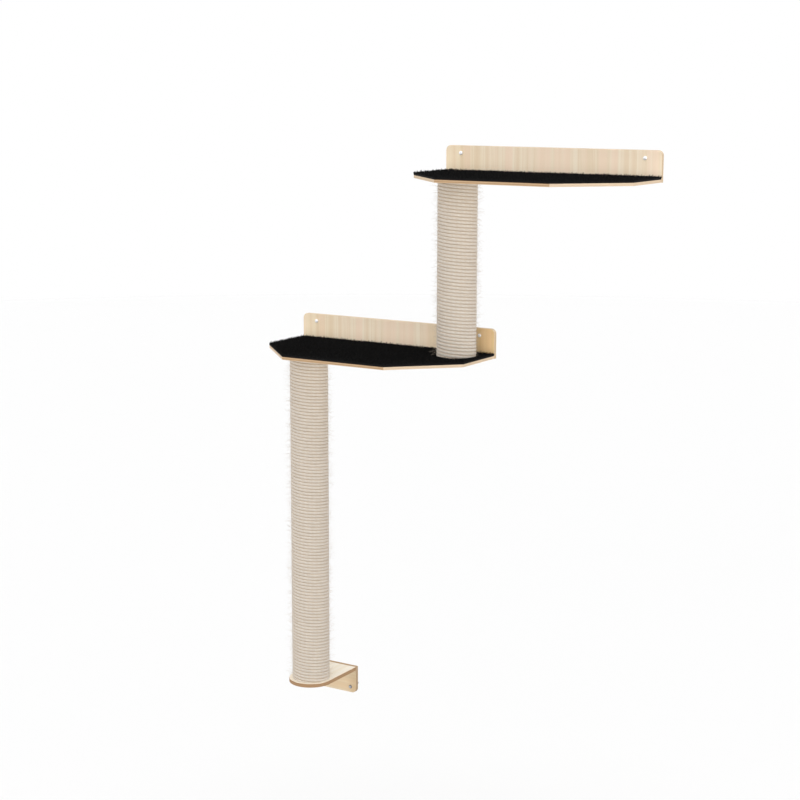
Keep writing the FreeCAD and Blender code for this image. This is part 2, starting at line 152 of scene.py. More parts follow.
def make_plywood_group():
    """Grain of the face veneers and edges of the plies, on places along, across and through a board."""
    tree, given, result = new_group(
        "plywood",
        {"Board": "vector", "Facing": "value", "Ending": "value", "Pale": "colour", "Dark": "colour",
         "Warm": "colour", "Pale Ply": "colour", "Dark Ply": "colour", "End Ply": "colour"},
        {"Color": "colour", "Roughness": "value", "Height": "value"})
    board = given.outputs["Board"]
    pale, dark, warm = (given.outputs[name] for name in ("Pale", "Dark", "Warm"))
    pale_ply, dark_ply, end_ply = (given.outputs[name] for name in ("Pale Ply", "Dark Ply", "End Ply"))
    wave = speckle(tree, board, (5, 9, 1), detail=1.0)
    drift = add(tree, "ShaderNodeCombineXYZ", {"Y": sum_of(tree, "MULTIPLY", wave, GRAIN_DRIFT)}).outputs[0]
    grain = add(tree, "ShaderNodeVectorMath", {0: board, 1: drift}, operation="ADD").outputs[0]
    broad = speckle(tree, grain, (1.4, 66, 20), detail=2.0, roughness=0.55)
    hue = speckle(tree, grain, (1.0, 40, 31), detail=1.0)
    vein = speckle(tree, grain, (2.4, 230, 40), detail=2.0, roughness=0.6)
    fine = speckle(tree, grain, (9, 620, 60), detail=3.0, roughness=0.6)
    pore = speckle(tree, grain, (45, 2100, 90), detail=1.0)
    face = mixed(tree, ranged(tree, broad, 0.36, 0.66, 0.0, 0.85), pale, dark)
    face = mixed(tree, ranged(tree, vein, 0.48, 0.70, 0.0, 0.75), face, dark)
    face = mixed(tree, ranged(tree, hue, 0.46, 0.66, 0.0, 0.8), face, warm)
    face = mixed(tree, ranged(tree, fine, 0.52, 0.80, 0.0, 0.20), face, dark)
    face = mixed(tree, ranged(tree, pore, 0.66, 0.76, 0.0, 0.16), face, dark_ply)

    depth = add(tree, "ShaderNodeSeparateXYZ", {0: board}).outputs["Z"]
    level = sum_of(tree, "DIVIDE", depth, PLY_THICKNESS)
    sway = sum_of(tree, "MULTIPLY_ADD", speckle(tree, board, (14, 14, 5)), PLY_SWAY, -PLY_SWAY / 2)
    ply = sum_of(tree, "MULTIPLY", sum_of(tree, "ADD", level, sway), PLY_COUNT)
    across = sum_of(tree, "SINE", sum_of(tree, "MULTIPLY", ply, math.pi))
    end_grain = speckle(tree, board, (900, 900, 2600), detail=2.0)
    edge = mixed(tree, ranged(tree, across, -0.4, 0.4), dark_ply, pale_ply)
    edge = mixed(tree, ranged(tree, given.outputs["Ending"], 0.25, 0.6, 0.0, 0.55), edge, end_ply)
    edge = mixed(tree, ranged(tree, end_grain, 0.45, 0.75, 0.0, 0.22), edge, END_GRAIN_TONE)

    on_edge = ranged(tree, given.outputs["Facing"], *EASED_EDGE, 1.0, 0.0)
    tree.links.new(mixed(tree, on_edge, face, edge), result.inputs["Color"])
    gloss = ranged(tree, fine, 0.2, 0.8, 0.46, 0.62)
    tree.links.new(sum_of(tree, "MULTIPLY_ADD", on_edge, EDGE_ROUGHER, gloss), result.inputs["Roughness"])
    rise = sum_of(tree, "MULTIPLY_ADD", sum_of(tree, "MULTIPLY", end_grain, on_edge), END_GRAIN_RISE, fine)
    tree.links.new(rise, result.inputs["Height"])
    return tree


plywood_group = make_plywood_group()


def leaning(tree, places, axis):
    """How squarely a surface faces along an axis: 1 along it, -1 against it."""
    normal = {0: places.outputs["Normal"], 1: axis}
    return add(tree, "ShaderNodeVectorMath", normal, operation="DOT_PRODUCT").outputs["Value"]


def finish_plywood(name, along, through, colours, stains_and_shade=()):
    """Coat a board with plywood whose grain runs along one axis and whose plies lie across another.

    Each colour laid along an axis is one that its front face takes on from one place to another: some are
    stains of the wood and some are painted shade.
    """
    material, tree, shader, places = new_finish(name)
    axes = (Vector(along), Vector(through).cross(Vector(along)), Vector(through))
    low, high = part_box(name)
    corner = [-sum(min(part * a, part * b) for part, a, b in zip(axis, low, high)) for axis in axes]
    mapping = {"Vector": places.outputs["Object"], "Location": corner, "Rotation": Matrix(axes).to_euler()}
    board = add(tree, "ShaderNodeMapping", mapping).outputs[0]
    ply = add(tree, "ShaderNodeGroup", node_tree=plywood_group)
    tree.links.new(board, ply.inputs["Board"])
    facing = leaning(tree, places, through)
    tree.links.new(sum_of(tree, "ABSOLUTE", facing), ply.inputs["Facing"])
    tree.links.new(sum_of(tree, "ABSOLUTE", leaning(tree, places, along)), ply.inputs["Ending"])
    for key, colour in colours.items():
        ply.inputs[key].default_value = colour
    colour = ply.outputs["Color"]
    # Stains of the wood and painted shade alike are laid on the front face here.
    for axis, start, full, stain_and_shade in stains_and_shade:
        place = add(tree, "ShaderNodeSeparateXYZ", {0: places.outputs["Object"]}).outputs[axis]
        in_front = ranged(tree, facing, *EASED_EDGE)
        amount = sum_of(tree, "MULTIPLY", ranged(tree, place, start, full), in_front)
        colour = mixed(tree, amount, colour, mixed(tree, 1.0, colour, stain_and_shade, "MULTIPLY"))
    connect(tree, shader, Base_Color=colour, Roughness=ply.outputs["Roughness"],
            Normal=bumped(tree, ply.outputs["Height"], GRAIN_DEPTH))
    shader.inputs["Specular IOR Level"].default_value = 0.3
    coat(material, name)


ALONG_WALL, FROM_WALL, UPWARD = (1, 0, 0), (0, -1, 0), (0, 0, 1)
PLATE_COLOURS = {"Pale": tint(249, 234, 210), "Dark": tint(239, 217, 186), "Warm": tint(248, 224, 199),
                 "Pale Ply": tint(208, 188, 160), "Dark Ply": tint(187, 160, 127),
                 "End Ply": tint(230, 212, 184)}
FOOT_BACK_COLOURS = {"Pale": tint(231, 216, 189), "Dark": tint(214, 191, 158), "Warm": tint(222, 196, 161),
                     "Pale Ply": tint(192, 162, 126), "Dark Ply": tint(174, 140, 104),
                     "End Ply": tint(165, 146, 122)}

# The front of a shelf's plate carries painted shade that darkens it towards the upper edge, to even out how
# the lamps light it from top to bottom, and turns golden towards an end. The lower plate's right part also
# carries the painted shadow of the upper post, together with a warmer wood tone, and the foot's plate
# carries painted shade that darkens and browns its right end.
TOP_SHADE_FROM = 0.35
TOP_SHADE_TONE = tint(241, 240, 240)
GOLDEN_REACH, GOLDEN_FULL = 0.15, 0.03
GOLDEN_TONE = tint(250, 247, 240)
# Painted shadow of the upper post on the lower plate's right part, with a warmer wood tone.
POST_SHADOW_AND_WARM_WOOD = ("X", 0.06, 0.26, tint(247, 233, 200))
# Painted shade towards the right end of the foot's plate.
END_SHADE_REACH = 0.035
END_SHADE_TONE = tint(232, 227, 219)

for shelf, post_shadow_and_wood in (("lower_shelf", (POST_SHADOW_AND_WARM_WOOD,)), ("upper_shelf", ())):
    low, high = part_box(f"{shelf}_back_plate")
    # Painted shade that darkens the front towards its upper edge.
    painted_top_shade = ("Z", low.z + TOP_SHADE_FROM * (high.z - low.z), high.z, TOP_SHADE_TONE)
    golden_end = ("X", low.x + GOLDEN_REACH, low.x + GOLDEN_FULL, GOLDEN_TONE)
    stains_and_shade = (painted_top_shade, golden_end, *post_shadow_and_wood)
    finish_plywood(f"{shelf}_back_plate", UPWARD, FROM_WALL, PLATE_COLOURS, stains_and_shade)
low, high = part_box("foot_back_plate")
# Painted shade that darkens the front towards its right end.
painted_end_shade = ("X", high.x - END_SHADE_REACH, high.x, END_SHADE_TONE)
finish_plywood("foot_back_plate", ALONG_WALL, FROM_WALL, FOOT_BACK_COLOURS, (painted_end_shade,))


# Shelf boards: 10 mm plywood with both front corners sawn off at 45 degrees and the lower edge eased. The
# back edge is screwed to the back plate, and the top carries the carpet.

BOARD_COLOURS = {"Pale": tint(238, 226, 203), "Dark": tint(224, 202, 166), "Warm": tint(235, 210, 176),
                 "Pale Ply": tint(195, 164, 129), "Dark Ply": tint(168, 136, 102),
                 "End Ply": tint(231, 212, 187)}
for shelf in ("lower_shelf", "upper_shelf"):
    finish_plywood(f"{shelf}_board", ALONG_WALL, UPWARD, BOARD_COLOURS)


# Foot plate: plywood with a half-round front, screwed to the foot's back plate. The tall post stands on it,
# held by a bolt from below.

FOOT_COLOURS = {"Pale": tint(249, 242, 228), "Dark": tint(243, 231, 210), "Warm": tint(247, 234, 214),
                "Pale Ply": tint(171, 138, 104), "Dark Ply": tint(156, 122, 88),
                "End Ply": tint(166, 132, 98)}
finish_plywood("foot_plate", FROM_WALL, UPWARD, FOOT_COLOURS)


# Joint screws, bolts, washers and inserts: zinc-plated steel. Countersunk screws come through the back
# plates into the boards, and bolts hold the posts, down through a board or up from below on a washer.


def make_zinc():
    """Dull plating with fine crystals and a few scuffs."""
    material, tree, shader, places = new_finish("zinc_steel")
    here = places.outputs["Object"]
    crystal = add(tree, "ShaderNodeTexVoronoi", {"Vector": here, "Scale": 900.0}).outputs["Color"]
    scuff = speckle(tree, here, (350, 350, 2600), detail=3.0)
    colour = mixed(tree, ranged(tree, scuff, 0.35, 0.7), tint(176, 179, 184), tint(206, 208, 211))
    colour = mixed(tree, 0.12, colour, crystal, "OVERLAY")
    connect(tree, shader, Base_Color=colour, Roughness=ranged(tree, scuff, 0.3, 0.75, 0.28, 0.46),
            Normal=bumped(tree, scuff, depth=0.00003))
    shader.inputs["Metallic"].default_value = 1.0
    return material


POSTS = ("upper_post", "lower_post")
steel_nodes = [f"{post}_{piece}" for post in POSTS
               for piece in ("top_bolt", "top_insert", "bottom_bolt", "bottom_insert", "bottom_washer")]
coat(make_zinc(), *steel_nodes, "lower_shelf_joint_screws", "upper_shelf_joint_screws", "foot_joint_screws")


# Wall screws: bright screws with a domed head and a cross recess, two through each back plate into the
# wall. Their shanks have a thread where the wall holds them.


def make_chrome(name, rim_colour, crown_colour, crown_edge):
    """Bright satin plating with faint turning marks, and a painted reflection: the crown of the head lighter
    than its rim.
    """
    material, tree, shader, places = new_finish(name)
    here = places.outputs["Object"]
    marks = speckle(tree, here, (500, 4000, 500), detail=2.0)
    crown = add(tree, "ShaderNodeSeparateXYZ", {0: places.outputs["Normal"]}).outputs["Y"]
    # Painted reflection: the crown that faces out from the wall takes one colour and the rim of the head
    # another.
    reflected_crown = ranged(tree, crown, -1.0 + crown_edge / 5, -1.0 + crown_edge, 1.0, 0.0)
    colour = mixed(tree, reflected_crown, rim_colour, crown_colour)
    colour = mixed(tree, ranged(tree, marks, 0.3, 0.7, 0.0, 0.15), colour, tint(250, 250, 252))
    connect(tree, shader, Base_Color=colour, Roughness=ranged(tree, marks, 0.3, 0.75, 0.42, 0.54),
            Normal=bumped(tree, marks, depth=0.00001))
    shader.inputs["Metallic"].default_value = 0.6
    return material


shelf_screw = make_chrome("bright_screw", tint(240, 241, 246), tint(250, 250, 252), crown_edge=0.16)
coat(shelf_screw, "lower_shelf_wall_screws", "upper_shelf_wall_screws")
# The foot's screws carry a painted reflection: a dark rim round a light crown, standing in for dark
# surroundings mirrored in the head.
foot_screw = make_chrome("foot_screw", tint(104, 105, 112), tint(220, 221, 226), crown_edge=0.09)
coat(foot_screw, "foot_wall_screws")

SCREW_CORE = 0.0025
THREAD_PITCH = 0.0022
THREAD_HEIGHT = 0.0006
THREAD_START, THREAD_END = 0.0015, 0.0240
THREAD_STEPS = 16


def new_object(name, mesh):
    """Turn a bmesh into an object of the scene."""
    data = bpy.data.meshes.new(name)
    mesh.to_mesh(data)
    mesh.free()
    made = bpy.data.objects.new(name, data)
    bpy.context.scene.collection.objects.link(made)
    return made


def new_piece(name, mesh, material, smooth=True):
    """Make a finished piece of a mesh, give it its material and let it ride on the scratcher."""
    piece = new_object(name, mesh)
    piece.data.materials.append(material)
    if smooth:
        piece.data.shade_smooth()
    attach(piece, "root")
    return piece


def baked(holder):
    """Mesh of an object with its modifiers applied. The object itself is thrown away."""
    made = bpy.data.meshes.new_from_object(holder.evaluated_get(bpy.context.evaluated_depsgraph_get()))
    bpy.data.objects.remove(holder)
    return made


def wind(section, turns, lead, steps):
    """Section swept clockwise up the Z axis by a number of turns. Its vertices lie ring by ring."""
    holder = new_object("section", section)
    winding = holder.modifiers.new("winding", "SCREW")
    winding.angle = -math.tau
    winding.screw_offset = lead
    winding.iterations = turns
    winding.steps = winding.render_steps = steps
    return baked(holder)


def cut_threads(plate, material):
    """Thread of the two screws of a plate, a ridge that winds along each shank into the wall."""
    low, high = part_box(f"{plate}_wall_screws")
    head, height = (high.z - low.z) / 2, (low.z + high.z) / 2
    section = bmesh.new()
    root, crest = SCREW_CORE - THREAD_HEIGHT / 3, SCREW_CORE + THREAD_HEIGHT
    half = THREAD_PITCH / 4
    corners = [section.verts.new(place) for place in ((root, 0, -half), (crest, 0, 0), (root, 0, half))]
    section.faces.new(corners)
    turns = round((THREAD_END - THREAD_START) / THREAD_PITCH)
    ridge = wind(section, turns, THREAD_PITCH, THREAD_STEPS)
    mesh = bmesh.new()
    for x in (low.x + head, high.x - head):
        first = len(mesh.verts)
        mesh.from_mesh(ridge)
        mesh.verts.ensure_lookup_table()
        place = Matrix.Translation((x, THREAD_START, height)) @ Matrix.Rotation(-math.pi / 2, 4, "X")
        bmesh.ops.transform(mesh, matrix=place, verts=mesh.verts[first:])
    bpy.data.meshes.remove(ridge)
    bmesh.ops.holes_fill(mesh, edges=[edge for edge in mesh.edges if edge.is_boundary], sides=0)
    bmesh.ops.recalc_face_normals(mesh, faces=mesh.faces)
    new_piece(f"{plate}_screw_threads", mesh, material, smooth=False)


for plate, material in (("lower_shelf", shelf_screw), ("upper_shelf", shelf_screw), ("foot", foot_screw)):
    cut_threads(plate, material)


# Post cores: a tube wound of brown cardboard with a wooden plug glued in each end. Both are hidden once the
# rope is on.


def make_cardboard():
    """Brown paper with short fibres and darker patches."""
    material, tree, shader, places = new_finish("cardboard")
    here = places.outputs["Object"]
    fibre = speckle(tree, here, (900, 900, 260), detail=4.0)
    layer = speckle(tree, here, (30, 30, 60), detail=2.0)
    colour = mixed(tree, ranged(tree, fibre, 0.3, 0.7), tint(158, 124, 88), tint(184, 150, 112))
    colour = mixed(tree, ranged(tree, layer, 0.4, 0.8, 0.0, 0.4), colour, tint(140, 106, 72))
    connect(tree, shader, Base_Color=colour, Roughness=ranged(tree, fibre, 0.2, 0.8, 0.8, 0.95),
            Normal=bumped(tree, fibre, depth=0.0001))
    return material


def make_plug_wood():
    """Pine with dark growth rings."""
    material, tree, shader, places = new_finish("plug_wood")
    here = places.outputs["Object"]
    ring_sockets = {"Vector": here, "Scale": 60.0, "Distortion": 3.0, "Detail": 2.0}
    rings = add(tree, "ShaderNodeTexWave", ring_sockets, wave_type="RINGS").outputs["Fac"]
    fibre = speckle(tree, here, (600, 600, 200), detail=3.0)
    colour = mixed(tree, rings, tint(214, 182, 134), tint(186, 144, 96))
    connect(tree, shader, Base_Color=colour, Roughness=ranged(tree, fibre, 0.2, 0.8, 0.6, 0.8),
            Normal=bumped(tree, fibre, depth=0.0001))
    return material


coat(make_cardboard(), *[f"{post}_tube" for post in POSTS])
coat(make_plug_wood(), *[f"{post}_{end}_plug" for post in POSTS for end in ("top", "bottom")])


# Ropes: three-strand sisal, three lengths wound side by side and glued to the tube from end to end, then
# trimmed flush with its ends. Seen from the front the turns run down to the right.

ROPE_COUNT = 3
ROPE_RADIUS = 0.00406
ROPE_LINE_RADIUS = 0.0439
ROPE_END_RISE = 0.00487
ROPE_TRIM_GAP = 0.0003
ROPE_TURNS = {"upper_post": 17.0, "lower_post": 34.5}
ROPE_SIDES = 16
ROPE_STEPS = 144
ROPE_TWISTS = 9
ROPE_SPREAD = 1.3
ROPE_HAIRLINE = 0.00006
STRANDS = 3
STRAND_DEPTH = 0.045
ROPE_SWELL = 0.02


def make_sisal():
    """Twisted pale fibre: bulging strands with painted shade in their valleys and in the grooves between
    turns, fine streaks along the twist and dry ends.
    """
    material, tree, shader, places = new_finish("sisal_rope")
    lay = add(tree, "ShaderNodeUVMap", uv_map="lay").outputs[0]
    along = add(tree, "ShaderNodeSeparateXYZ", {0: lay}).outputs
    turned = sum_of(tree, "MULTIPLY_ADD", along["X"], -ROPE_TWISTS, along["Y"])
    strand = sum_of(tree, "MULTIPLY", turned, STRANDS)
    across = sum_of(tree, "PINGPONG", strand, 0.5)
    painted_valley_shade = ranged(tree, across, 0.0, 0.24, 1.0, 0.0)
    combed = add(tree, "ShaderNodeCombineXYZ", {"X": along["X"], "Y": turned}).outputs[0]
    streak = speckle(tree, combed, (60, 46, 1), detail=4.0, roughness=0.65)
    thread = speckle(tree, combed, (90, 190, 1), detail=3.0, roughness=0.6)
    shade = speckle(tree, combed, (7, 3, 1), detail=2.0)
    colour = mixed(tree, ranged(tree, streak, 0.30, 0.70), tint(199, 190, 179), tint(214, 207, 198))
    colour = mixed(tree, ranged(tree, shade, 0.35, 0.75, 0.0, 0.4), colour, tint(204, 193, 180))
    colour = mixed(tree, ranged(tree, thread, 0.50, 0.72, 0.0, 0.5), colour, tint(190, 172, 148))
    colour = mixed(tree, ranged(tree, thread, 0.28, 0.44, 0.5, 0.0), colour, tint(240, 233, 224))
    colour = mixed(tree, sum_of(tree, "MULTIPLY", painted_valley_shade, 0.4), colour, tint(196, 179, 157))
    # Painted shade: the upper and lower sides of each turn darken where it meets the next turn, as in a
    # shaded groove.
    outward = sum_of(tree, "PINGPONG", sum_of(tree, "SUBTRACT", along["Y"], 0.25), 0.5)
    painted_groove_shade = ranged(tree, outward, 0.32, 0.46, 0.85, 0.0)
    colour = mixed(tree, painted_groove_shade, colour, tint(194, 172, 145))
    fluff = sum_of(tree, "MULTIPLY_ADD", streak, 0.35, sum_of(tree, "MULTIPLY", thread, -0.3))
    rise = sum_of(tree, "ADD", fluff, ranged(tree, across, 0.0, 0.5))
    shader.inputs["Sheen Weight"].default_value = 0.15
    shader.inputs["Sheen Roughness"].default_value = 0.5
    connect(tree, shader, Base_Color=colour, Roughness=ranged(tree, streak, 0.2, 0.8, 0.72, 0.92),
            Normal=bumped(tree, rise, depth=0.0004, strength=0.6))
    shader.inputs["Specular IOR Level"].default_value = 0.2
    return material


def post_axis(post):
    """Where the axis of a post lies, and the heights of its ends."""
    low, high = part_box(f"{post}_tube")
    return Vector(((low.x + high.x) / 2, (low.y + high.y) / 2, 0)), low.z, high.z


def wind_rope(post, number, material):
    """Wind one rope of a post, press it against its neighbours, bulge its strands and trim both its ends."""
    axis, bottom, top = post_axis(post)
    lead = (top - bottom - 2 * ROPE_END_RISE) / ROPE_TURNS[post]
    early = (ROPE_END_RISE + ROPE_RADIUS) / lead
    section = bmesh.new()
    spot = Matrix.Translation((ROPE_LINE_RADIUS, 0, 0)) @ Matrix.Rotation(math.pi / 2, 4, "X")
    bmesh.ops.create_circle(section, segments=ROPE_SIDES, radius=ROPE_RADIUS, matrix=spot)
    tube = wind(section, math.ceil(ROPE_TURNS[post] + 2 * early), lead, ROPE_STEPS)
    mesh = bmesh.new()
    lay = mesh.loops.layers.uv.new("lay")
    mesh.from_mesh(tube)
    bpy.data.meshes.remove(tube)
    room = (lead / ROPE_COUNT - ROPE_HAIRLINE) / 2
    swing = Matrix.Rotation(math.pi / 2 + math.tau * (early + number / ROPE_COUNT), 4, "Z")
    base = axis + Vector((0, 0, bottom - ROPE_RADIUS))
    places = {}
    for index, vert in enumerate(mesh.verts):
        ring, side = divmod(index, ROPE_SIDES)
        turn, around = ring / ROPE_STEPS, side / ROPE_SIDES
        places[vert] = turn, around
        centre = Vector((ROPE_LINE_RADIUS * math.cos(math.tau * turn),
                         -ROPE_LINE_RADIUS * math.sin(math.tau * turn), lead * turn))
        bulge = STRAND_DEPTH * math.cos(math.tau * STRANDS * (around - ROPE_TWISTS * turn))
        swell = ROPE_SWELL * noise.noise(Vector((turn * ROPE_TWISTS, around * STRANDS, number * STRANDS)))
        offset = (vert.co - centre) * (1 + bulge + swell)
        offset.z = max(-room, min(room, offset.z * ROPE_SPREAD))
        vert.co = base + swing @ (centre + offset)
    for face in mesh.faces:
        corners = [places[loop.vert] for loop in face.loops]
        sides = [around for turn, around in corners]
        wraps = max(sides) - min(sides) > 0.5
        for loop, (turn, around) in zip(face.loops, corners):
            loop[lay].uv = turn, around + 1 if wraps and around < 0.5 else around
    for height, past in ((bottom + ROPE_TRIM_GAP, "clear_inner"), (top - ROPE_TRIM_GAP, "clear_outer")):
        everything = list(mesh.verts) + list(mesh.edges) + list(mesh.faces)
        bmesh.ops.bisect_plane(mesh, geom=everything, plane_co=(0, 0, height), plane_no=UPWARD,
                               **{past: True})
    bmesh.ops.holes_fill(mesh, edges=[edge for edge in mesh.edges if edge.is_boundary], sides=0)
    bmesh.ops.recalc_face_normals(mesh, faces=mesh.faces)
    rope = new_piece(f"{post}_sisal_rope_{number + 1}", mesh, material)
    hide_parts(f"{post}_ropes")


sisal = make_sisal()
for post in POSTS:
    for number in range(ROPE_COUNT):
        wind_rope(post, number, sisal)


# Loose fibres: dry ends of sisal that stand out all round the posts, as they do on any scratched rope.

FIBRE_LENGTH = 0.016
FIBRE_RADIUS = 0.00018
FIBRE_SPACING = 0.0054
FIBRE_CLEARANCE = 0.006
FIBRE_ROOT = 0.8
FIBRE_BEND = 0.4
FIBRE_LEAN = 0.75
FIBRE_SIZES = (0.2, 1.2)
FIBRE_RARITY = 1.3
FIBRE_SEED = 11
DRUM_SIDES = 48
SCATTER_TRIES = 4


def make_sprig(radius, tip_radius, length, sides, joints, bend):
    """Slender upright sprig that tapers to its tip and bends over to one side."""
    mesh = bmesh.new()
    lift = Matrix.Translation((0, 0, length / 2))
    bmesh.ops.create_cone(mesh, cap_ends=True, segments=sides, radius1=radius, radius2=tip_radius,
                          depth=length, matrix=lift)
    for joint in range(1, joints):
        everything = list(mesh.verts) + list(mesh.edges) + list(mesh.faces)
        cut = (0, 0, length * joint / joints)
        bmesh.ops.bisect_plane(mesh, geom=everything, plane_co=cut, plane_no=UPWARD)
    for vert in mesh.verts:
        vert.co.x += bend * (vert.co.z / length) ** 2
    return new_object("sprig", mesh)


def scatter(name, ground, sprig, spacing, lean, sizes, rarity, seed):
    """Plant sprigs evenly on the faces of a ground, each with its own lean and length, as one mesh.

    The higher the rarity, the fewer of them are long.
    """
    tree = bpy.data.node_groups.new(name, "GeometryNodeTree")
    tree.interface.new_socket("Geometry", in_out="INPUT", socket_type="NodeSocketGeometry")
    tree.interface.new_socket("Geometry", in_out="OUTPUT", socket_type="NodeSocketGeometry")
    spread = {"Mesh": add(tree, "NodeGroupInput").outputs[0], "Distance Min": spacing,
              "Density Max": SCATTER_TRIES / spacing ** 2, "Seed": seed}
    points = add(tree, "GeometryNodeDistributePointsOnFaces", spread, distribute_method="POISSON")
    outward = {"Vector": points.outputs["Normal"]}
    stand = add(tree, "FunctionNodeAlignRotationToVector", outward, axis="Z").outputs[0]
    swing = {0: (-lean, -lean, -math.pi), 1: (lean, lean, math.pi), "Seed": seed + 1}
    tilt = add(tree, "FunctionNodeRandomValue", swing, data_type="FLOAT_VECTOR").outputs[0]
    turn = {"Rotation": stand, "Rotate By": add(tree, "FunctionNodeEulerToRotation", {0: tilt}).outputs[0]}
    turned = add(tree, "FunctionNodeRotateRotation", turn, rotation_space="LOCAL").outputs[0]
    chance = add(tree, "FunctionNodeRandomValue", {"Seed": seed + 2}, data_type="FLOAT").outputs[1]
    shortest, longest = sizes
    growth = sum_of(tree, "POWER", chance, rarity)
    growth = sum_of(tree, "MULTIPLY_ADD", growth, longest - shortest, shortest)
    size = add(tree, "ShaderNodeCombineXYZ", {"X": growth, "Y": 1.0, "Z": growth}).outputs[0]
    planted = {"Points": points.outputs["Points"], "Rotation": turned, "Scale": size,
               "Instance": add(tree, "GeometryNodeObjectInfo", {"Object": sprig}).outputs["Geometry"]}
    instances = add(tree, "GeometryNodeInstanceOnPoints", planted).outputs[0]
    real = add(tree, "GeometryNodeRealizeInstances", {0: instances}).outputs[0]
    tree.links.new(real, add(tree, "NodeGroupOutput").inputs[0])
    ground.modifiers.new(name, "NODES").node_group = tree
    grown = baked(ground)
    bpy.data.objects.remove(sprig)
    mesh = bmesh.new()
    mesh.from_mesh(grown)
    bpy.data.meshes.remove(grown)
    return mesh


def make_fibre():
    """Single dry fibres, paler and darker from place to place."""
    material, tree, shader, places = new_finish("sisal_fibre")
    shade = speckle(tree, places.outputs["Object"], (160, 160, 160), detail=2.0)
    colour = mixed(tree, ranged(tree, shade, 0.3, 0.7), tint(190, 172, 150), tint(218, 205, 189))
    connect(tree, shader, Base_Color=colour, Roughness=ranged(tree, shade, 0.2, 0.8, 0.7, 0.9))
    return material


fibre = make_fibre()
for seed, post in enumerate(POSTS, start=FIBRE_SEED):
    axis, bottom, top = post_axis(post)
    drum = bmesh.new()
    reach = ROPE_LINE_RADIUS + ROPE_RADIUS * FIBRE_ROOT
    middle = Matrix.Translation(axis + Vector((0, 0, (bottom + top) / 2)))
    bmesh.ops.create_cone(drum, cap_ends=False, segments=DRUM_SIDES, radius1=reach, radius2=reach,
                          depth=top - bottom - 2 * FIBRE_CLEARANCE, matrix=middle)
    ground = new_object("drum", drum)
    bend = FIBRE_LENGTH * FIBRE_BEND
    sprig = make_sprig(FIBRE_RADIUS, FIBRE_RADIUS / 2, FIBRE_LENGTH, sides=3, joints=3, bend=bend)
    fibres = scatter(f"{post}_fibres", ground, sprig, FIBRE_SPACING, FIBRE_LEAN, FIBRE_SIZES, FIBRE_RARITY,
                     seed)
    new_piece(f"{post}_loose_fibres", fibres, fibre)


# Carpets: black cut pile on a woven backing, glued over each board and turned down over its front and side
# edges. The lower one has a round cut-out where the short post stands on the board.

BACKING = 0.0010
BACKING_SHARE = 0.8
CARPET_LIP = 0.0030
CARPET_LIP_OUT = 0.0008
PLATE_GAP = 0.0010
CUT_OUT_RADIUS = 0.0487
SHELF_CORNER = 0.136
PILE_HEIGHT = 0.0042
PILE_RADIUS = 0.0010
PILE_SPACING = 0.00175
TUFT_HEIGHT = 0.0072
TUFT_RADIUS = 0.0011
TUFT_SPACING = 0.0047
TUFT_CUT_OUT_RADIUS = 0.075
PILE_LEAN, TUFT_LEAN = 0.42, 0.35
PILE_SIZES, TUFT_SIZES = (0.65, 1.15), (0.5, 0.95)
EVEN_RARITY = 1.0
PILE_SEED = 31
TUFT_SEED_STEP = 7
CUT_OUT_SIDES = 64


def make_black_pile():
    """Black wool, a little browner or greyer from tuft to tuft, with hardly any shine."""
    material, tree, shader, places = new_finish("black_carpet")
    here = places.outputs["Object"]
    tuft = speckle(tree, here, (420, 420, 420), detail=2.0)
    patch = speckle(tree, here, (24, 24, 24), detail=2.0)
    colour = mixed(tree, ranged(tree, tuft, 0.3, 0.7), tint(16, 16, 16), tint(24, 23, 23))
    colour = mixed(tree, ranged(tree, patch, 0.4, 0.7, 0.0, 0.4), colour, tint(20, 20, 21))
    connect(tree, shader, Base_Color=colour, Roughness=ranged(tree, tuft, 0.2, 0.8, 0.85, 1.0))
    shader.inputs["Specular IOR Level"].default_value = 0.1
    return material


def cut_carpet(shelf, post, hole_radius):
    """Lay a backing out over a board, with a hole for its post and the front and side edges turned down."""
    low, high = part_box(f"{shelf}_board")
    left, right, front, back = low.x, high.x, low.y, high.y - PLATE_GAP
    corners = [(right, back), (left, back), (left, front + SHELF_CORNER), (left + SHELF_CORNER, front),
               (right - SHELF_CORNER, front), (right, front + SHELF_CORNER)]
    mesh = bmesh.new()
    outline = [mesh.verts.new((x, y, high.z + BACKING)) for x, y in corners]
    rim = [mesh.edges.new((a, b)) for a, b in zip(outline, outline[1:] + outline[:1])]
    if post:
        axis = post_axis(post)[0]
        spot = Matrix.Translation((axis.x, axis.y, high.z + BACKING))
        hole = bmesh.ops.create_circle(mesh, segments=CUT_OUT_SIDES, radius=hole_radius, matrix=spot)
        rim += dict.fromkeys(edge for vert in hole["verts"] for edge in vert.link_edges)
    bmesh.ops.triangle_fill(mesh, edges=rim, use_beauty=True, normal=UPWARD)
    fold = outline[1:] + outline[:1]
    drop = Vector((0, 0, CARPET_LIP + BACKING))
    hem = [mesh.verts.new(vert.co - drop) for vert in fold]
    for upper, lower in zip(zip(fold, fold[1:]), zip(hem, hem[1:])):
        mesh.faces.new((*reversed(upper), *lower))
    bmesh.ops.recalc_face_normals(mesh, faces=mesh.faces)
    middle = Vector(((left + right) / 2, (front + back) / 2, 0))
    for vert in outline:
        out = Vector((vert.co.x - middle.x, min(vert.co.y - middle.y, 0), 0))
        vert.co += out.normalized() * CARPET_LIP_OUT
    return mesh


def lay_ground(shelf, post, hole_radius):
    """Upper side of a carpet, without its turned-down edges, for the pile to grow on."""
    mesh = cut_carpet(shelf, post, hole_radius)
    bmesh.ops.delete(mesh, geom=[face for face in mesh.faces if face.normal.z < 0.5], context="FACES")
    return new_object("ground", mesh)


